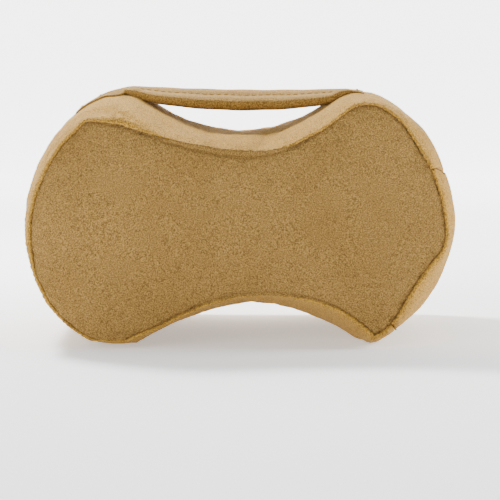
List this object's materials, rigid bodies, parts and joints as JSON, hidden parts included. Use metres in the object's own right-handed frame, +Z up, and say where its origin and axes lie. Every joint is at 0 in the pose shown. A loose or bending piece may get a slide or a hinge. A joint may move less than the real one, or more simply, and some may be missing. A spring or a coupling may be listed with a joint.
{
  "type": "contoured leg spacer cushion",
  "caption": "Waisted foam cushion in a zipped velour cover, with an elastic strap bridging the recess in its top, to hold the legs apart.",
  "frame": {"origin": "middle of the footprint, on the surface that the cushion stands on", "axes": "+X along the cushion towards the zipped end, +Y from the front panel to the rear one, +Z up, towards the strap"},
  "size_m": [0.2537, 0.203, 0.1478],
  "materials": {
    "velour_face": "matte",
    "velour_side": "matte",
    "strap_velour": "matte",
    "foam": "matte",
    "elastic": "matte",
    "thread": "satin",
    "zip_tape": "matte",
    "zip_teeth": "satin",
    "zip_metal": "satin"
  },
  "bodies": {
    "cushion": {"foam_core": "foam", "front_panel": "velour_face", "rear_panel": "velour_face", "gusset_band": "velour_side", "zip_panel_front": "velour_side", "zip_panel_rear": "velour_side", "zip_tape_front": "zip_tape", "zip_tape_rear": "zip_tape", "zip_teeth_front": "zip_teeth", "zip_teeth_rear": "zip_teeth", "zip_top_stop": "zip_metal", "zip_bottom_stop": "zip_metal", "front_seam_thread": "thread", "rear_seam_thread": "thread", "upper_join_thread": "thread", "lower_join_thread": "thread", "zip_topstitch_front": "thread", "zip_topstitch_rear": "thread", "strap_left_end": "strap_velour", "strap_right_end": "strap_velour", "strap_left_stitches": "thread", "strap_right_stitches": "thread"},
    "slider": {"zip_slider": "zip_metal"},
    "pull_tab": {"zip_pull_tab": "zip_metal"},
    "strap": {"strap_sleeve": "strap_velour", "strap_elastic": "elastic", "strap_hem_thread": "thread"}
  },
  "joints": [
    {"name": "strap_stretch", "type": "slide", "parent": "cushion", "child": "strap", "axis": [0, 0, 1], "range_m": [0, 0.035], "stiffness_N_per_m": 250},
    {"name": "zip_travel", "type": "hinge", "parent": "cushion", "child": "slider", "pos_m": [0.046, 0, 0.0693], "axis": [0, 1, 0], "range_deg": [0, 53]},
    {"name": "pull_flip", "type": "hinge", "parent": "slider", "child": "pull_tab", "pos_m": [0.12439, 0, 0.08525], "axis": [0, -1, 0], "range_deg": [0, 150]}
  ]
}
